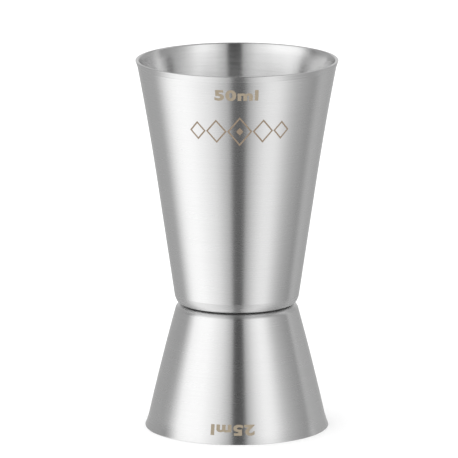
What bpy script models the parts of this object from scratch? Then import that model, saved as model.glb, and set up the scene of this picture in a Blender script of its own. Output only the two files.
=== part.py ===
"""Double-ended bar jigger: two deep-drawn steel measuring cups, spot-welded base to base.

The large cup opens upwards and the small cup opens downwards, so its mouth is the foot.
The frame's origin is the middle of the foot ring, on the surface the jigger stands on, +Z up.
All lengths are in metres.
"""
import math

import bmesh
import bpy

# Overall size
TOTAL_HEIGHT = 0.0840
LOWER_HEIGHT = 0.0284          # from the foot ring to the seam between the two bases
UPPER_HEIGHT = TOTAL_HEIGHT - LOWER_HEIGHT

# Sheet steel, thinned in the wall by drawing
WALL = 0.0007
BASE_THICKNESS = 0.0010
SEAM_GAP = 0.0003              # clearance between the two bases

# Each wall's outer radius at a height h above its own base is
#   base_radius + slope * h + bow * (h past bow_start)^2, plus a short flared lip at the mouth
UPPER_CUP = {
    "height": UPPER_HEIGHT,
    "corner": 0.0018,          # outer radius where the base turns into the wall
    "base_radius": 0.01373,
    "slope": 0.1474,
    "bow": 0.77,
    "bow_start": 0.0273,
    "lip_height": 0.0022,
    "lip_reach": 0.00024,
}
LOWER_CUP = {
    "height": LOWER_HEIGHT,
    "corner": 0.0016,
    "base_radius": 0.01347,
    "slope": 0.2745,
    "bow": -1.03,
    "bow_start": 0.0,
    "lip_height": 0.0031,
    "lip_reach": 0.00032,
}

# Resistance welds between the bases: flat nuggets, each in a shallow pocket in both bases
WELD_COUNT = 3
WELD_CIRCLE = 0.0055           # radius of the circle the welds stand on
WELD_RADIUS = 0.0020
WELD_THICKNESS = 0.0004
WELD_CLEARANCE = 0.0003        # all round each nugget

# Facets
TURN_STEPS = 72
WALL_STEPS = 6
LIP_STEPS = 3
CORNER_STEPS = 4
WELD_STEPS = 24
MERGE_DISTANCE = 0.00001


def clear_scene():
    """Remove every object that the file opens with."""
    for old in list(bpy.data.objects):
        bpy.data.objects.remove(old, do_unlink=True)


def new_collection(name):
    """Add a collection to the scene."""
    collection = bpy.data.collections.new(name)
    bpy.context.scene.collection.children.link(collection)
    return collection


def steel(name, colour, roughness):
    """A bare metal finish."""
    material = bpy.data.materials.new(name)
    material.use_nodes = True
    shader = material.node_tree.nodes["Principled BSDF"]
    shader.inputs["Base Color"].default_value = (*colour, 1.0)
    shader.inputs["Metallic"].default_value = 1.0
    shader.inputs["Roughness"].default_value = roughness
    material.diffuse_color = (*colour, 1.0)
    return material


def wall_radius(cup, height):
    """The outer radius of a cup's wall at a height above its base."""
    past_bow = max(0.0, height - cup["bow_start"])
    lip_start = cup["height"] - cup["lip_height"]
    into_lip = max(0.0, height - lip_start) / cup["lip_height"]
    cone = cup["base_radius"] + cup["slope"] * height
    return cone + cup["bow"] * past_bow ** 2 + cup["lip_reach"] * into_lip ** 2


def corner(cup, inset, floor, radius):
    """Arc from a flat floor round into the wall, whose surface lies inset inside the outer one."""
    lean = math.atan(cup["slope"])
    wall_at_centre = cup["base_radius"] - inset / math.cos(lean) + cup["slope"] * (floor + radius)
    centre_x = wall_at_centre - radius / math.cos(lean)
    centre_z = floor + radius
    points = []
    for step in range(CORNER_STEPS + 1):
        angle = -math.pi / 2 + (math.pi / 2 - lean) * step / CORNER_STEPS
        points.append((centre_x + radius * math.cos(angle), centre_z + radius * math.sin(angle)))
    return points


def one_side(cup, inset, floor, radius):
    """One surface of a cup as radius and height, from the middle of its base out to the rim."""
    points = [(0.0, floor)] + corner(cup, inset, floor, radius)
    lip_start = cup["height"] - cup["lip_height"]
    wall_start = points[-1][1]
    heights = [wall_start + (lip_start - wall_start) * step / WALL_STEPS
               for step in range(1, WALL_STEPS + 1)]
    heights += [lip_start + cup["lip_height"] * step / LIP_STEPS
                for step in range(1, LIP_STEPS + 1)]
    lean = math.atan(cup["slope"])
    for height in heights:
        points.append((wall_radius(cup, height) - inset / math.cos(lean), height))
    return points


def cup_profile(cup):
    """The closed wall section: the outer surface out to the rim, then the inner one back."""
    outside = one_side(cup, 0.0, SEAM_GAP / 2, cup["corner"])
    inside = one_side(cup, WALL, SEAM_GAP / 2 + BASE_THICKNESS, cup["corner"] - WALL)
    return outside + inside[::-1]


def turned(name, points, material, collection):
    """Turn a profile of radius and height about the Z axis."""
    mesh = bpy.data.meshes.new(name)
    shape = bmesh.new()
    verts = [shape.verts.new((radius, 0.0, height)) for radius, height in points]
    for first, second in zip(verts, verts[1:]):
        shape.edges.new((first, second))
    shape.to_mesh(mesh)
    shape.free()
    piece = bpy.data.objects.new(name, mesh)
    collection.objects.link(piece)
    piece.data.materials.append(material)
    screw = piece.modifiers.new("Turn", "SCREW")
    screw.axis = "Z"
    screw.angle = 2 * math.pi
    screw.steps = TURN_STEPS
    screw.render_steps = TURN_STEPS
    screw.use_merge_vertices = True
    screw.merge_threshold = MERGE_DISTANCE
    screw.use_smooth_shade = True
    return piece


def disc(name, radius, thickness, collection):
    """A short round plug centred on its own origin."""
    mesh = bpy.data.meshes.new(name)
    shape = bmesh.new()
    bmesh.ops.create_cone(shape, cap_ends=True, segments=WELD_STEPS,
                          radius1=radius, radius2=radius, depth=thickness)
    shape.to_mesh(mesh)
    shape.free()
    mesh.shade_smooth()
    mesh.set_sharp_from_angle(angle=math.radians(40))
    piece = bpy.data.objects.new(name, mesh)
    collection.objects.link(piece)
    return piece


def weld_centres():
    """Where the welds stand, evenly round a small circle in the plane of the seam."""
    for index in range(WELD_COUNT):
        angle = math.pi / 2 + 2 * math.pi * index / WELD_COUNT
        yield WELD_CIRCLE * math.cos(angle), WELD_CIRCLE * math.sin(angle), LOWER_HEIGHT


def cut(piece, cutter):
    """Take a cutter out of a piece, live."""
    boolean = piece.modifiers.new("Pocket", "BOOLEAN")
    boolean.operation = "DIFFERENCE"
    boolean.solver = "EXACT"
    boolean.object = cutter


def make_cups(collection):
    """The two cups, the upper one opening up from the seam and the lower one opening down."""
    satin = (0.62, 0.61, 0.59)
    upper_points = [(radius, LOWER_HEIGHT + height) for radius, height in cup_profile(UPPER_CUP)]
    lower_points = [(radius, LOWER_HEIGHT - height) for radius, height in cup_profile(LOWER_CUP)]
    upper = turned("upper_cup", upper_points[::-1], steel("upper_cup_steel", satin, 0.32), collection)
    lower = turned("lower_cup", lower_points, steel("lower_cup_steel", satin, 0.32), collection)
    return upper, lower


def make_welds(cups, collection, cutters):
    """The weld nuggets, and the pockets that they fill in both bases."""
    weld_steel = steel("weld_steel", (0.42, 0.41, 0.40), 0.55)
    pocket_radius = WELD_RADIUS + WELD_CLEARANCE
    pocket_span = WELD_THICKNESS + 2 * WELD_CLEARANCE
    for number, centre in enumerate(weld_centres(), start=1):
        nugget = disc(f"spot_weld_{number}", WELD_RADIUS, WELD_THICKNESS, collection)
        nugget.location = centre
        nugget.data.materials.append(weld_steel)
        cutter = disc(f"pocket_cutter_{number}", pocket_radius, pocket_span, cutters)
        cutter.location = centre
        cutter.hide_render = True
        cutter.display_type = "WIRE"
        for cup in cups:
            cut(cup, cutter)


def main():
    """Build the jigger."""
    clear_scene()
    jigger = new_collection("bar_jigger")
    cutters = new_collection("cutters")
    cups = make_cups(jigger)
    make_welds(cups, jigger, cutters)


main()
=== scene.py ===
# %% [markdown]
# # A double-ended bar jigger in satin stainless steel
#
# A bar jigger measures spirits. This one is two drawn steel cups welded base to base: a tall cup
# that holds 50 ml stands mouth up on a short cup that holds 25 ml and stands mouth down. The frame
# loaded here already fixes every size and place. This script only adds what the eye sees: fine
# turned walls, rounded rims, weld marks, laser marks, satin brushing, light and a camera.

# %% Load the frame
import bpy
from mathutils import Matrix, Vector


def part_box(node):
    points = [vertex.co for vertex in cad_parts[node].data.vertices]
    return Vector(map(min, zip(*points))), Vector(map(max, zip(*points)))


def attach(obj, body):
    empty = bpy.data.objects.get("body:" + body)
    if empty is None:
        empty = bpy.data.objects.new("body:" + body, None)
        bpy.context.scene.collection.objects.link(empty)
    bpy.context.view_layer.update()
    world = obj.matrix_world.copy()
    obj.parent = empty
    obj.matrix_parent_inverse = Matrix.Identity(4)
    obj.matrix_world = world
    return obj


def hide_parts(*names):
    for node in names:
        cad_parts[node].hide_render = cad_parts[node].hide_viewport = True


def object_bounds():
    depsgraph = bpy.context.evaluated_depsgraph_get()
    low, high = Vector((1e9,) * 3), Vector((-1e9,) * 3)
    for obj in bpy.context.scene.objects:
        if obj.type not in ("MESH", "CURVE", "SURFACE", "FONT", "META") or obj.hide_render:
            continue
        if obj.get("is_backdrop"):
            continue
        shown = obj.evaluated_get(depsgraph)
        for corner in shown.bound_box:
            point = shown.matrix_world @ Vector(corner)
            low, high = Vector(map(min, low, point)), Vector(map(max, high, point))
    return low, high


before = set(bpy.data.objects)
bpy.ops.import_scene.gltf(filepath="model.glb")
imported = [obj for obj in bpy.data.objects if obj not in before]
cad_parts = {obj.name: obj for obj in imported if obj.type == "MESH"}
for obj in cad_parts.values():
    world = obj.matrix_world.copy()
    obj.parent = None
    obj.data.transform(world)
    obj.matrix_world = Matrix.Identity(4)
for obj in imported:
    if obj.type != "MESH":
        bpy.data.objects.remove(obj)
cad_low, cad_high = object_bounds()
print("frame nodes:", ", ".join(sorted(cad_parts)))

# %% [markdown]
# ## What the frame says
#
# The two cups share one upright axis through the origin, so a few numbers place everything: how high
# the mouth and the seam are, and how wide the two rims are. They are measured on the frame instead
# of typed in, so the visible shells can't drift away from the solids.

# %% Measure the two cups
import math

import bmesh
import bpy
from mathutils import Vector

upper_low, upper_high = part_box("upper_cup")
lower_low, lower_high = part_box("lower_cup")
SEAM = (upper_low.z + lower_high.z) / 2
HALF_GAP = (upper_low.z - lower_high.z) / 2
MM = 0.001
print(f"seam at {SEAM / MM:.1f} mm, mouth at {upper_high.z / MM:.1f} mm")
print(f"mouth {2 * upper_high.x / MM:.1f} mm across, foot {2 * lower_high.x / MM:.1f} mm across")

# %% [markdown]
# ## The shape of a drawn wall
#
# A press draws each cup from a flat disc. Its wall is a cone with a slight bow, and the last few
# millimetres flare into a lip that stiffens the edge. A shallow groove runs round the outside just
# under the large cup's rim, where a roller bears while the edge is trimmed. A list of measured
# points could follow that line, but a formula keeps the wall smooth at any number of steps: the
# radius grows in proportion to the height, plus a gentle square term for the bow and a short one for
# the lip, less a narrow bell curve for the groove. The radius at the base isn't typed in. It is
# whatever makes the rim as wide as the frame's, with a trim for what the rounding takes off.

# %% Describe the two walls
WALL = 0.7 * MM
BASE = 1.0 * MM
SEAT = 0.13 * MM
GROOVE_BELOW_RIM = 1.35 * MM
GROOVE_SPREAD = 0.13 * MM
INNER_FLARE = 0.8


class Cup:
    """One drawn cup. Heights run from the seam towards its mouth, which is up or down."""

    def __init__(self, name, rim_radius, height, up, corner, knuckle, hand_over,
                 slope, bow, bow_start, lip, lip_reach, groove):
        self.name = name
        self.height = height
        self.up = up
        self.corner = corner
        self.knuckle = knuckle
        self.hand_over = hand_over
        self.slope = slope
        self.bow = bow
        self.bow_start = bow_start
        self.lip = lip
        self.lip_reach = lip_reach
        self.groove = groove
        self.base_radius = 0.0
        self.base_radius = rim_radius - self.radius(height)

    def radius(self, height, outside=True):
        """The wall's radius at a height above the base. The inside has less flare and no groove."""
        past_bow = max(0.0, height - self.bow_start)
        into_lip = max(0.0, height - (self.height - self.lip)) / self.lip
        cone = self.base_radius + self.slope * height + self.bow * past_bow ** 2
        if not outside:
            return cone + INNER_FLARE * self.lip_reach * into_lip ** 2
        from_groove = (self.height - GROOVE_BELOW_RIM - height) / GROOVE_SPREAD
        return cone + self.lip_reach * into_lip ** 2 - self.groove * math.exp(-from_groove ** 2)

    def z(self, height):
        """Where a height above the base lies in the frame."""
        return SEAM + height if self.up else SEAM - height


RIM_TRIM = 0.06 * MM
large = Cup("large_cup", upper_high.x + RIM_TRIM, upper_high.z - SEAM, True,
            corner=0.9 * MM, knuckle=4.1 * MM, hand_over=math.radians(30),
            slope=0.1474, bow=0.77, bow_start=27.3 * MM, lip=2.2 * MM, lip_reach=0.24 * MM,
            groove=0.025 * MM)
small = Cup("small_cup", lower_high.x + RIM_TRIM, SEAM - lower_low.z, False,
            corner=1.6 * MM, knuckle=1.6 * MM, hand_over=math.radians(30),
            slope=0.2745, bow=-1.03, bow_start=0.0, lip=3.1 * MM, lip_reach=0.32 * MM, groove=0.0)
for cup in (large, small):
    print(f"{cup.name}: base radius {cup.base_radius / MM:.2f} mm, height {cup.height / MM:.1f} mm")

# %% [markdown]
# ## From wall line to section
#
# A turned body is easiest as one closed section: out along the underside of the base, round the
# corner, up the outer wall, over the rim, back down inside and in along the floor to the axis. The
# corner is two arcs. A tight one leaves the base flat and hands over to a wide one, the knuckle,
# which meets the wall's lean, so light slides round without a kink. Each base stays a hair away from
# the seam, which leaves a thin dark line between the cups. The rim is left square here, because a
# bevel rounds it better once it is a ring, and the last step to it is long enough to hold the bevel.

# %% Draw the sections
WALL_POINTS = 36
LIP_POINTS = 30
CORNER_POINTS = 8
FLOOR_POINTS = 34
INNER_CORNER = 0.9 * MM
RIM_ROUND = 0.2 * MM
RIM_STEP = 1.4 * RIM_ROUND


def surface_line(cup, inset, floor, corner, knuckle, outside):
    """Radius and height along one side of the sheet, from the axis to the rim."""
    lean = math.atan(cup.slope)
    offset = inset / math.cos(lean)
    wider = knuckle - corner
    wall_start = floor + corner + wider * math.sin(cup.hand_over) - knuckle * math.sin(lean)
    wall_radius = cup.base_radius - offset + cup.slope * wall_start
    centre = wall_radius + wider * math.cos(cup.hand_over) - knuckle * math.cos(lean)
    line = [(centre * step / FLOOR_POINTS, floor) for step in range(FLOOR_POINTS)]
    for step in range(CORNER_POINTS):
        turn = math.pi / 2 - (math.pi / 2 - cup.hand_over) * step / CORNER_POINTS
        line.append((centre + corner * math.cos(turn), floor + corner - corner * math.sin(turn)))
    for step in range(CORNER_POINTS + 1):
        turn = cup.hand_over - (cup.hand_over - lean) * step / CORNER_POINTS
        line.append((wall_radius + knuckle * (math.cos(turn) - math.cos(lean)),
                     wall_start + knuckle * (math.sin(lean) - math.sin(turn))))
    lip_start = cup.height - cup.lip
    wall_step = (lip_start - wall_start) / WALL_POINTS
    lip_step = (cup.lip - RIM_STEP) / LIP_POINTS
    heights = [wall_start + wall_step * step for step in range(1, WALL_POINTS)]
    heights += [lip_start + lip_step * step for step in range(LIP_POINTS + 1)]
    heights.append(cup.height)
    return line + [(cup.radius(height, outside) - offset, height) for height in heights]


def section(cup):
    """The closed outline of a cup's sheet: the outside, then the inside back to the axis."""
    inner_knuckle = max(cup.knuckle - WALL, INNER_CORNER)
    outside = surface_line(cup, 0.0, SEAT, cup.corner, cup.knuckle, True)
    inside = surface_line(cup, WALL, HALF_GAP + BASE, INNER_CORNER, inner_knuckle, False)
    return outside + inside[::-1]


print("points in a section:", len(section(large)))

# %% [markdown]
# ## Spinning the section
#
# Blender offers a Screw modifier, a spin operator and primitives for round things. Spin suits a
# finished shell: it turns the outline about the axis and welds the last copy to the first. The
# points on the axis are copied too, so their doubles are merged, and only then are the normals
# recalculated, because a spun skin can come out inside out.

# %% Spin, and keep the tools at hand
TURNS = 240
TINY = 0.001 * MM


def spin_section(points):
    """A bmesh of the body that an outline sweeps about the Z axis."""
    body = bmesh.new()
    verts = [body.verts.new((radius, 0.0, z)) for radius, z in points]
    for first, second in zip(verts, verts[1:]):
        body.edges.new((first, second))
    bmesh.ops.spin(body, geom=body.verts[:] + body.edges[:], cent=(0, 0, 0), axis=(0, 0, 1),
                   angle=2 * math.pi, steps=TURNS, use_merge=True)
    bmesh.ops.remove_doubles(body, verts=body.verts[:], dist=TINY)
    bmesh.ops.recalc_face_normals(body, faces=body.faces[:])
    return body


def piece_from(body, name, material=None):
    """Turn a bmesh into a smooth-shaded object at the origin."""
    mesh = bpy.data.meshes.new(name)
    body.to_mesh(mesh)
    body.free()
    mesh.shade_smooth()
    piece = bpy.data.objects.new(name, mesh)
    bpy.context.scene.collection.objects.link(piece)
    if material:
        mesh.materials.append(material)
    return piece


def is_closed(piece):
    """Whether every edge of a piece has exactly two faces."""
    check = bmesh.new()
    check.from_mesh(piece.data)
    closed = all(len(edge.link_faces) == 2 for edge in check.edges)
    check.free()
    return closed


# %% [markdown]
# ## Rounded rims
#
# Nobody drinks from a knife edge: after trimming, the rim is tumbled until both its corners are
# round. A bevel on the two sharp rings does the same, and leaves a narrow flat land between them
# that catches a thin line of light all the way round.

# %% Round the rim
RIM_SEGMENTS = 4


def round_rim(body, cup):
    """Bevel the two sharp rings of a cup's rim."""
    rim = cup.z(cup.height)
    ring = [edge for edge in body.edges
            if all(abs(vert.co.z - rim) < TINY for vert in edge.verts)
            and abs(edge.verts[0].co.xy.length - edge.verts[1].co.xy.length) < TINY]
    bmesh.ops.bevel(body, geom=ring, offset=RIM_ROUND, offset_type="OFFSET", affect="EDGES",
                    segments=RIM_SEGMENTS, profile=0.5, material=-1)
    return len(ring)


# %% [markdown]
# ## Weld marks in the floors
#
# The bases are joined by three resistance welds. The electrodes press from inside each cup and
# leave shallow round dimples in both floors. They are too shallow for a Boolean to be worth it, so
# the floor's own points are lowered by a smooth bowl round each weld. The welds' places come from
# the frame's nuggets.

# %% Press the electrode marks
DIMPLE_RADIUS = 2.5 * MM
DIMPLE_DEPTH = 0.09 * MM
DIMPLE_FLANK = 2.5
weld_centres = []
for node in sorted(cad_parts):
    if node.startswith("spot_weld"):
        low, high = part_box(node)
        weld_centres.append((low + high) / 2)
print("welds at", [f"({c.x / MM:.1f}, {c.y / MM:.1f})" for c in weld_centres])


def press_dimples(body, cup):
    """Lower a cup's inner floor towards the seam round each weld."""
    floor = cup.z(HALF_GAP + BASE)
    towards_seam = -1 if cup.up else 1
    for vert in body.verts:
        if abs(vert.co.z - floor) > TINY:
            continue
        for centre in weld_centres:
            near = 1 - (vert.co.xy - centre.xy).length / DIMPLE_RADIUS
            if near > 0:
                vert.co.z += towards_seam * DIMPLE_DEPTH * min(1.0, DIMPLE_FLANK * near) ** 2


def make_cup(cup):
    """Spin, round and dimple one cup."""
    body = spin_section([(radius, cup.z(height)) for radius, height in section(cup)])
    rim_edges = round_rim(body, cup)
    press_dimples(body, cup)
    piece = piece_from(body, cup.name)
    print(f"{cup.name}: {len(piece.data.polygons)} faces, {rim_edges} rim edges, closed:",
          is_closed(piece))
    return piece


large_cup = make_cup(large)
small_cup = make_cup(small)

# %% [markdown]
# ## Shader arithmetic
#
# Satin steel needs a little maths on coordinates. Wiring Math nodes by hand is long and hard to
# read, so one small class wraps a socket and lets Python's own operators add the nodes. Any other
# node comes from its `node` method. The functions after it are the few steps that every material
# and the light share: a grey ramp, a new material, a soft step and a link to a shader's socket.

# %% A socket that can be calculated with
class Signal:
    """One output in a node tree. Arithmetic on it adds Math nodes."""

    def __init__(self, tree, socket=None):
        self.tree = tree
        self.socket = socket

    def node(self, kind, settings=None, inputs=None, output=0):
        """Add a node, set it up, feed its inputs with values or signals, and return an output."""
        made = self.tree.nodes.new(kind)
        for key, value in (settings or {}).items():
            if key == "stops":
                set_stops(made.color_ramp, value)
            else:
                setattr(made, key, value)
        for key, value in (inputs or {}).items():
            if isinstance(value, Signal):
                self.tree.links.new(value.socket, made.inputs[key])
            else:
                made.inputs[key].default_value = value
        return Signal(self.tree, made.outputs[output])

    def maths(self, operation, first, second=0.0):
        """Add one Math node."""
        return self.node("ShaderNodeMath", {"operation": operation}, {0: first, 1: second})

    def __add__(self, other):
        return self.maths("ADD", self, other)

    def __sub__(self, other):
        return self.maths("SUBTRACT", self, other)

    def __rsub__(self, other):
        return self.maths("SUBTRACT", other, self)

    def __mul__(self, other):
        return self.maths("MULTIPLY", self, other)

    def __truediv__(self, other):
        return self.maths("DIVIDE", self, other)

    __radd__ = __add__
    __rmul__ = __mul__


def set_stops(ramp, stops):
    """Give a colour ramp its grey stops, each a position and a level."""
    while len(ramp.elements) > 1:
        ramp.elements.remove(ramp.elements[-1])
    for index, (position, level) in enumerate(stops):
        stop = ramp.elements[0] if index == 0 else ramp.elements.new(position)
        stop.position = position
        stop.color = (level, level, level, 1.0)


def new_material(name):
    """A material with its tree, its Principled shader and a signal to start from."""
    material = bpy.data.materials.new(name)
    material.use_nodes = True
    shader = material.node_tree.nodes["Principled BSDF"]
    return material, shader, Signal(material.node_tree)


def eased(signal, start, end):
    """0 below a start, 1 above an end, and a soft step between."""
    return signal.node("ShaderNodeMapRange", {"interpolation_type": "SMOOTHSTEP"},
                       {"Value": signal, "From Min": start, "From Max": end})


def split(vector):
    """The X, Y and Z of a vector."""
    parts = vector.node("ShaderNodeSeparateXYZ", inputs={0: vector}).socket.node.outputs
    return [Signal(vector.tree, parts[axis]) for axis in "XYZ"]


def feed(shader, socket, signal):
    """Drive one socket of a shader with a signal."""
    signal.tree.links.new(signal.socket, shader.inputs[socket])


# %% [markdown]
# ## Satin brushed steel
#
# The cups are finished on a lathe against an abrasive belt, so hair-fine scratches run round them.
# Across the scratches light spreads a lot, along them hardly at all: that is anisotropy, and it
# turns every highlight into an upright band. Without a tangent input Blender takes the direction
# round the Z axis, which is the way the belt runs, and a quarter turn puts the wide spread across
# it. The scratches are noise stretched along the belt's path. Height and radius are added into one
# coordinate, so that the same lines run round the walls and in circles on the floors. They show
# mostly as small changes of roughness, and a little as tone and relief.
#
# Two places differ. A finer belt reaches inside the cups, so the steel is smoother there, with
# lines that stand out more. And a narrow band on the large cup just above the seam has painted
# shade: its steel is made slightly darker and less metallic, for the shade where the cups meet.

# %% Satin steel for the cups
# Three grades of scratch: how many per metre across the belt and along it, and the noise's detail.
FINE_LINES = (5200, 110, 2.0)
MIDDLING_LINES = (2300, 90, 1.0)
BROAD_LINES = (900, 25, 1.0)
STEEL_TONE = 0.78
SATIN_ROUGHNESS = 0.267
SMOOTHER_INSIDE = 0.05
ROUGH_LINES_INSIDE = 1.8
SCRATCH_DEPTH = 0.004 * MM
SCRATCH_RELIEF = 0.35
SPREAD_ACROSS = 0.915
QUARTER_TURN = 0.25
FACES_INWARDS = -0.2
# A band of painted shade just above the seam: its height, soft edge, darkening and loss of metal.
SEAM_SHADE_HEIGHT = 2.25 * MM
SEAM_SHADE_BLEND = 0.12 * MM
SEAM_SHADE_DARKER = 0.17
SEAM_SHADE_DULLER = 0.14


def belt_lines(start, across, along, detail):
    """Noise in fine rings round the Z axis, evenly spread about 0."""
    place = start.node("ShaderNodeTexCoord", output="Object")
    x, y, z = split(place)
    flat = start.node("ShaderNodeCombineXYZ", inputs={"X": x, "Y": y})
    from_axis = start.node("ShaderNodeVectorMath", {"operation": "LENGTH"}, {0: flat}, "Value")
    ring = start.node("ShaderNodeCombineXYZ",
                      inputs={"X": x * along, "Y": y * along, "Z": (z + from_axis) * across})
    noise = start.node("ShaderNodeTexNoise", {"noise_dimensions": "3D"},
                       {"Vector": ring, "Scale": 1.0, "Detail": detail, "Roughness": 0.6}, "Fac")
    return noise - 0.5


def inside_mask(start):
    """1 where the surface faces the axis, 0 where it faces away."""
    place = start.node("ShaderNodeTexCoord", output="Object")
    facing = start.node("ShaderNodeTexCoord", output="Normal")
    level = start.node("ShaderNodeVectorMath", {"operation": "MULTIPLY"},
                       {0: place, 1: (1, 1, 0)}, "Vector")
    outwards = start.node("ShaderNodeVectorMath", {"operation": "NORMALIZE"}, {0: level}, "Vector")
    turned = start.node("ShaderNodeVectorMath", {"operation": "DOT_PRODUCT"},
                        {0: facing, 1: outwards}, "Value")
    return start.maths("LESS_THAN", turned, FACES_INWARDS)


def painted_seam_shade_mask(start):
    """Painted shade: 1 outside the large cup's first millimetres above the seam, 0 elsewhere."""
    place = start.node("ShaderNodeTexCoord", output="Object")
    height = start.node("ShaderNodeSeparateXYZ", inputs={0: place}, output="Z") - SEAM
    above_seam = start.maths("GREATER_THAN", height, 0.0)
    past_collar = eased(height, SEAM_SHADE_HEIGHT - SEAM_SHADE_BLEND, SEAM_SHADE_HEIGHT + SEAM_SHADE_BLEND)
    return above_seam * (1 - past_collar) * (1 - inside_mask(start))


def satin_steel():
    """Bare steel with brush lines, a finer inside and a band of painted shade above the seam."""
    material, shader, start = new_material("satin_steel")
    fine = belt_lines(start, *FINE_LINES)
    middling = belt_lines(start, *MIDDLING_LINES)
    broad = belt_lines(start, *BROAD_LINES)
    inside = inside_mask(start)
    painted_seam_shade = painted_seam_shade_mask(start)
    tone = STEEL_TONE + 0.05 * fine + 0.025 * middling + 0.02 * broad
    # Painted shade: the band just above the seam is made darker here, and less metallic below.
    tone = (tone + (0.07 * fine + 0.10 * middling) * inside) * (1 - SEAM_SHADE_DARKER * painted_seam_shade)
    grey = start.node("ShaderNodeCombineColor", inputs={"Red": tone, "Green": tone, "Blue": tone})
    feed(shader, "Base Color", grey)
    feed(shader, "Metallic", 1 - SEAM_SHADE_DULLER * painted_seam_shade)
    scratches = 0.036 * fine + 0.028 * middling
    smooth = SATIN_ROUGHNESS - SMOOTHER_INSIDE * inside
    feed(shader, "Roughness", smooth + scratches * (1 + ROUGH_LINES_INSIDE * inside))
    relief = start.node("ShaderNodeBump", inputs={"Height": fine, "Distance": SCRATCH_DEPTH,
                                                  "Strength": SCRATCH_RELIEF})
    feed(shader, "Normal", relief)
    shader.inputs["Anisotropic"].default_value = SPREAD_ACROSS
    shader.inputs["Anisotropic Rotation"].default_value = QUARTER_TURN
    return material


steel = satin_steel()
for piece in (large_cup, small_cup):
    piece.data.materials.append(steel)

# %% [markdown]
# ## Laser marks
#
# The marks are burnt in by a laser, which leaves a thin tan oxide. They could be masks in the
# steel's material, but real outlines stay crisp at any distance. Each mark starts flat, is sliced
# into narrow upright strips so that it can bend, gets a thickness of a few hundredths of a
# millimetre, and is wrapped round the wall. Its back is sunk in the steel and its face stands just
# proud of it.

# %% Wrap flat shapes round a wall
STRIP = 0.25 * MM
SUNK = 0.03 * MM
PROUD = 0.012 * MM
FRONT = 1.0
SHARP_FROM = math.radians(30)


def slice_upright(flat, width):
    """Cut a flat bmesh into strips, so that it bends smoothly."""
    count = int(width / STRIP)
    for index in range(-count // 2, count // 2 + 1):
        bmesh.ops.bisect_plane(flat, geom=flat.verts[:] + flat.edges[:] + flat.faces[:],
                               plane_co=(index * STRIP, 0, 0), plane_no=(1, 0, 0), dist=TINY / 10)
    bmesh.ops.remove_doubles(flat, verts=flat.verts[:], dist=TINY)


def wrap(flat, width, cup, name, material, height, aside, upside_down=False):
    """Thicken a flat bmesh and bend it round the front of a cup at a height above its base."""
    bmesh.ops.remove_doubles(flat, verts=flat.verts[:], dist=TINY)
    slice_upright(flat, width)
    made = bmesh.ops.extrude_face_region(flat, geom=flat.faces[:])
    for item in made["geom"]:
        if isinstance(item, bmesh.types.BMVert):
            item.co.z = FRONT
    facing = -1 if upside_down else 1
    upward = facing if cup.up else -facing
    middle = cup.radius(height)
    for vert in flat.verts:
        along = height + upward * vert.co.y * math.cos(math.atan(cup.slope))
        angle = (facing * vert.co.x + aside) / middle
        out = cup.radius(along) + (PROUD if vert.co.z == FRONT else -SUNK)
        vert.co = Vector((out * math.sin(angle), -out * math.cos(angle), cup.z(along)))
    bmesh.ops.recalc_face_normals(flat, faces=flat.faces[:])
    piece = piece_from(flat, name, material)
    piece.data.set_sharp_from_angle(angle=SHARP_FROM)
    print(f"{name}: {len(piece.data.polygons)} faces, closed:", is_closed(piece))
    return piece


# %% [markdown]
# ## Burnt oxide
#
# A laser fills a shape with close parallel passes, so the tan tone has a faint hatch in it. The
# oxide scatters light, which is why the marks stay readable both on a bright stretch of steel and on
# a dark one. The hatch is a plain sine across the height, and a fine noise breaks it up.

# %% Oxide for the marks
HATCH_PITCH = 0.16 * MM
SPECKLES_PER_METRE = 6000.0


def laser_oxide(name, dark, light):
    """A dull tan skin, hatched between a dark and a light tone."""
    material, shader, start = new_material(name)
    place = start.node("ShaderNodeTexCoord", output="Object")
    speckle = start.node("ShaderNodeTexNoise", None,
                         {"Vector": place, "Scale": SPECKLES_PER_METRE, "Detail": 2.0}, "Fac")
    height = start.node("ShaderNodeSeparateXYZ", inputs={0: place}, output="Z")
    hatch = start.maths("SINE", height * (2 * math.pi / HATCH_PITCH))
    mix = 0.5 + 0.25 * hatch + 0.5 * (speckle - 0.5)
    colour = start.node("ShaderNodeMix", {"data_type": "RGBA"}, {0: mix, "A": dark, "B": light}, "Result")
    feed(shader, "Base Color", colour)
    feed(shader, "Roughness", 0.5 + 0.2 * speckle)
    shader.inputs["Metallic"].default_value = 0.25
    return material


filled_oxide = laser_oxide("filled_oxide", (0.27, 0.215, 0.148, 1), (0.445, 0.385, 0.295, 1))
line_oxide = laser_oxide("line_oxide", (0.20, 0.145, 0.10, 1), (0.38, 0.30, 0.22, 1))

# %% [markdown]
# ## Capacity marks
#
# Each cup says what it holds when brimful. The figures are Blender's built-in plain typeface, made
# bolder with the curve's offset and then stretched sideways. A few steps per curve are enough at
# this size, and keep the bolder outlines from crossing themselves. The small cup's figures are
# upside down here, because they are read when the jigger is turned over to use that cup.

# %% Write the capacities
FIGURE_SIZE = 3.2 * MM
BOLDNESS = 0.14 * MM
STRETCH = 1.44
LETTER_SPACING = 1.12
CURVE_STEPS = 6


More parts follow.
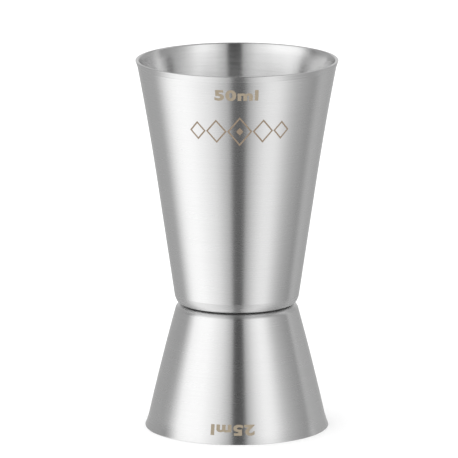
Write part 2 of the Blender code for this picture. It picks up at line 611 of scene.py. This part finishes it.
def flat_text(words):
    """A flat bmesh of a short text, centred on the origin, and its width."""
    curve = bpy.data.curves.new("lettering", "FONT")
    curve.body = words
    curve.size = FIGURE_SIZE
    curve.offset = BOLDNESS
    curve.resolution_u = CURVE_STEPS
    curve.space_character = LETTER_SPACING
    curve.align_x = "CENTER"
    curve.align_y = "CENTER"
    carrier = bpy.data.objects.new("lettering", curve)
    bpy.context.scene.collection.objects.link(carrier)
    bpy.context.view_layer.update()
    evaluated = carrier.evaluated_get(bpy.context.evaluated_depsgraph_get())
    shape = bpy.data.meshes.new_from_object(evaluated)
    flat = bmesh.new()
    flat.from_mesh(shape)
    bpy.data.objects.remove(carrier)
    bpy.data.curves.remove(curve)
    bpy.data.meshes.remove(shape)
    bmesh.ops.scale(flat, verts=flat.verts[:], vec=(STRETCH, 1, 1))
    xs = [vert.co.x for vert in flat.verts]
    ys = [vert.co.y for vert in flat.verts]
    middle = Vector((min(xs) + max(xs), min(ys) + max(ys), 0)) / 2
    bmesh.ops.translate(flat, verts=flat.verts[:], vec=-middle)
    width = max(xs) - min(xs)
    print(f"{words}: {width / MM:.1f} by {(max(ys) - min(ys)) / MM:.1f} mm")
    return flat, width


figures, figures_width = flat_text("50ml")
mark_50 = wrap(figures, figures_width, large, "mark_50_ml", filled_oxide,
               height=51.3 * MM, aside=-0.15 * MM)
figures, figures_width = flat_text("25ml")
mark_25 = wrap(figures, figures_width, small, "mark_25_ml", filled_oxide,
               height=small.height - 3.2 * MM, aside=-0.95 * MM, upside_down=True)

# %% [markdown]
# ## A plain border
#
# Between the capacity mark and the middle of the large cup sits a line ornament: five outlined
# diamonds in a row, tip to tip, the largest in the middle round a small solid one. It is pure
# geometry, so it says nothing and belongs to nobody. A diamond's outline is a four-sided circle,
# inset once, with the middle face deleted. A hair of steel stays between neighbours, so that each
# outline is a closed body of its own.

# %% Draw the border
STROKE = 0.34 * MM
BORDER_WIDTH = 23.0 * MM


def add_diamond(flat, x, half_width, half_height, solid=False):
    """A diamond, solid or as an outline one stroke wide."""
    made = bmesh.ops.create_circle(flat, cap_ends=True, segments=4, radius=1.0)
    for vert in made["verts"]:
        vert.co = Vector((x + vert.co.x * half_width, vert.co.y * half_height, 0))
    face = made["verts"][0].link_faces[0]
    if not solid:
        bmesh.ops.inset_individual(flat, faces=[face], thickness=STROKE, use_even_offset=True)
        bmesh.ops.delete(flat, geom=[face], context="FACES")


def border():
    """The flat row of diamonds."""
    flat = bmesh.new()
    add_diamond(flat, 0.0, 2.8 * MM, 3.4 * MM)
    add_diamond(flat, 0.0, 0.8 * MM, 0.9 * MM, solid=True)
    for side in (-1, 1):
        add_diamond(flat, side * 5.25 * MM, 2.35 * MM, 2.75 * MM)
        add_diamond(flat, side * 9.6 * MM, 1.9 * MM, 2.15 * MM)
    return flat


border_mark = wrap(border(), BORDER_WIDTH, large, "border_mark", line_oxide,
                   height=42.9 * MM, aside=0.6 * MM)

# %% [markdown]
# ## The welds between the bases
#
# The frame's nuggets are the right shape already and hide in the seam, so they keep their meshes and
# only get a duller steel.

# %% Weld steel
GRAINS_PER_METRE = 2500.0


def weld_steel():
    """Dull, slightly grainy fused steel."""
    material, shader, start = new_material("weld_steel")
    place = start.node("ShaderNodeTexCoord", output="Object")
    grain = start.node("ShaderNodeTexNoise", None,
                       {"Vector": place, "Scale": GRAINS_PER_METRE, "Detail": 3.0}, "Fac")
    feed(shader, "Roughness", 0.45 + 0.25 * grain)
    shader.inputs["Base Color"].default_value = (0.42, 0.40, 0.38, 1)
    shader.inputs["Metallic"].default_value = 1.0
    return material


dull = weld_steel()
for name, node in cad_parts.items():
    if name.startswith("spot_weld"):
        node.data.materials.clear()
        node.data.materials.append(dull)

# %% [markdown]
# ## Tie the pieces to the frame
#
# Nothing on a jigger moves, so every piece rides on the one body. The two shells take the place of
# the plain solids, which stay behind for collision.

# %% Ride and replace
for piece in (large_cup, small_cup, mark_50, mark_25, border_mark):
    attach(piece, "root")
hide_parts("upper_cup")
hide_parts("lower_cup")

# %% [markdown]
# ## A light tent
#
# Bare metal has no colour of its own: it shows its surroundings. Steelware is therefore shot inside
# a white tent with a large soft light on each side and a narrow dark gap in front. Area lights could
# do this, but a world that changes only with direction gives the same soft bands without noise.
#
# Each list goes round the horizon in degrees from the front, left to right, with the tent's level
# there. The low list is what the large cup's outer wall leans towards, the high one what the small
# cup's wall and the large cup's inside lean towards, and the top one is overhead. They blend softly
# into each other. A dark flag high up at the back puts a thin dark line on the rounded edges. Only
# mirrored rays see the tent: whatever scatters light, such as the floor, is lit by an even white.

# %% Light from all round
TENT_LOW = (
    (-180, 0.50), (-150, 0.42), (-115, 0.46), (-104, 0.86), (-94, 1.16), (-84, 1.28), (-66, 1.26),
    (-48, 1.08), (-32, 0.91), (-20, 0.66), (-12, 0.54), (-7, 0.30), (-5.6, 0.13), (10.8, 0.12),
    (12.4, 0.35), (18, 0.53), (28, 0.77), (40, 0.98), (54, 1.03), (64, 0.86), (74, 0.66), (86, 0.49),
    (100, 0.40), (108, 0.30), (122, 0.52), (150, 0.42), (180, 0.50),
)
TENT_HIGH = (
    (-180, 0.68), (-150, 0.42), (-115, 0.36), (-104, 0.22), (-94, 0.62), (-84, 1.17), (-70, 1.30),
    (-50, 1.34), (-36, 1.16), (-24, 1.01), (-14, 0.72), (-7, 0.50), (-5.6, 0.06), (10.8, 0.06),
    (12.4, 0.50), (18, 0.71), (28, 1.07), (40, 1.26), (50, 1.19), (58, 0.93), (68, 0.63), (78, 0.48),
    (92, 0.37), (104, 0.30), (112, 0.64), (124, 0.43), (150, 0.42), (180, 0.68),
)
TENT_TOP = (
    (-180, 0.90), (-120, 0.90), (-104, 0.60), (-84, 0.75), (-60, 0.80), (-40, 0.66), (-24, 0.42),
    (-14, 0.26), (-7, 0.18), (-5.6, 0.14), (10.8, 0.14), (12.4, 0.22), (28, 0.34), (45, 0.46),
    (64, 0.44), (84, 0.34), (104, 0.40), (120, 0.90), (180, 0.90),
)
BRIGHTEST = 2.0
HORIZON_BLEND = 12
OVERHEAD_FROM = 28
OVERHEAD_FULL = 48
FLAG_FROM = 150
FLAG_FULL = 162
FLAG_LOW = 20
FLAG_HIGH = 30
FLAG_DARKNESS = 0.85
OPEN_LIGHT = 1.23


def round_the_horizon(from_front, levels):
    """The level of a tent at an angle, from its list of degrees and levels."""
    stops = [(degrees / 360 + 0.5, level / BRIGHTEST) for degrees, level in levels]
    return from_front.node("ShaderNodeValToRGB", {"stops": stops}, {"Fac": from_front}) * BRIGHTEST


def light_tent():
    """A world whose reflections are a tent, and whose light is otherwise plain white."""
    world = bpy.data.worlds.new("light_tent")
    bpy.context.scene.world = world
    world.use_nodes = True
    background = world.node_tree.nodes["Background"]
    start = Signal(world.node_tree)
    direction = start.node("ShaderNodeTexCoord", output="Generated")
    x, y, z = split(direction)
    from_front = start.maths("ARCTAN2", x, 0.0 - y) / (2 * math.pi) + 0.5
    elevation = start.maths("ARCSINE", z) * (180 / math.pi)
    low = round_the_horizon(from_front, TENT_LOW)
    high = round_the_horizon(from_front, TENT_HIGH)
    above = eased(elevation, -HORIZON_BLEND, HORIZON_BLEND)
    sides = low * (1 - above) + high * above
    top = eased(elevation, OVERHEAD_FROM, OVERHEAD_FULL)
    away = start.maths("ABSOLUTE", from_front - 0.5) * 360
    flag = eased(away, FLAG_FROM, FLAG_FULL) * eased(elevation, FLAG_LOW, FLAG_HIGH)
    overhead = round_the_horizon(from_front, TENT_TOP)
    tent = (sides * (1 - top) + overhead * top) * (1 - FLAG_DARKNESS * flag)
    mirrored = start.node("ShaderNodeLightPath", output="Is Glossy Ray")
    background.inputs["Color"].default_value = (1, 1, 1, 1)
    feed(background, "Strength", mirrored * tent + (1 - mirrored) * OPEN_LIGHT)


light_tent()

# %% [markdown]
# ## Floor and key light
#
# The floor is a broad pale sheet. It is hidden from reflections, so that the steel sees the tent
# below as well as above. One large soft lamp overhead grounds the jigger with the faintest shadow.

# %% Lay the floor
FLOOR_SIZE = 8.0
LAMP_SIZE = 0.9
LAMP_POWER = 1.2
LAMP_PLACE = Vector((-0.25, -0.25, 0.9))
LAMP_TARGET = Vector((0, 0, 0.04))


def pale_floor():
    """A broad matt sheet that mirrored rays don't see."""
    sheet = bmesh.new()
    bmesh.ops.create_grid(sheet, x_segments=1, y_segments=1, size=FLOOR_SIZE / 2)
    material, shader, _ = new_material("pale_floor")
    shader.inputs["Base Color"].default_value = (0.97, 0.97, 0.97, 1)
    shader.inputs["Roughness"].default_value = 0.9
    floor = piece_from(sheet, "floor", material)
    floor.visible_glossy = False
    floor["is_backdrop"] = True


def soft_lamp():
    """A large lamp overhead, aimed at the jigger."""
    lamp = bpy.data.lights.new("soft_lamp", "AREA")
    lamp.size = LAMP_SIZE
    lamp.energy = LAMP_POWER
    holder = bpy.data.objects.new("soft_lamp", lamp)
    holder.location = LAMP_PLACE
    holder.rotation_euler = (LAMP_TARGET - LAMP_PLACE).to_track_quat("-Z", "Y").to_euler()
    holder.visible_glossy = False
    bpy.context.scene.collection.objects.link(holder)


pale_floor()
soft_lamp()

# %% [markdown]
# ## Camera
#
# A long lens from well back keeps the cone's sides almost parallel, as in a catalogue picture. The
# camera looks slightly down, enough to open the mouth into a thin ellipse.

# %% Place the camera
LENS = 483.9
LOOK_DOWN = 11.504
CAMERA_PLACE = (-0.00178, -1.3616, 0.3223)


def catalogue_camera():
    """A long lens in front, looking slightly down."""
    camera = bpy.data.cameras.new("camera")
    camera.sensor_width = 36
    camera.lens = LENS
    camera.clip_start = 0.05
    holder = bpy.data.objects.new("camera", camera)
    holder.location = CAMERA_PLACE
    holder.rotation_euler = (math.radians(90 - LOOK_DOWN), 0, 0)
    bpy.context.scene.collection.objects.link(holder)
    bpy.context.scene.camera = holder


catalogue_camera()
bpy.context.scene.view_settings.view_transform = "Standard"

# %% [markdown]
# ## Finish
#
# The shells must stay as large as the solids they stand for, so both boxes are compared.

# %% Compare the boxes and finish
model_low, model_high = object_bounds()
before = (*cad_low, *cad_high)
after = (*model_low, *model_high)
print(f"largest change in size: {max(abs(a - b) for a, b in zip(before, after)) / MM:.4f} mm")
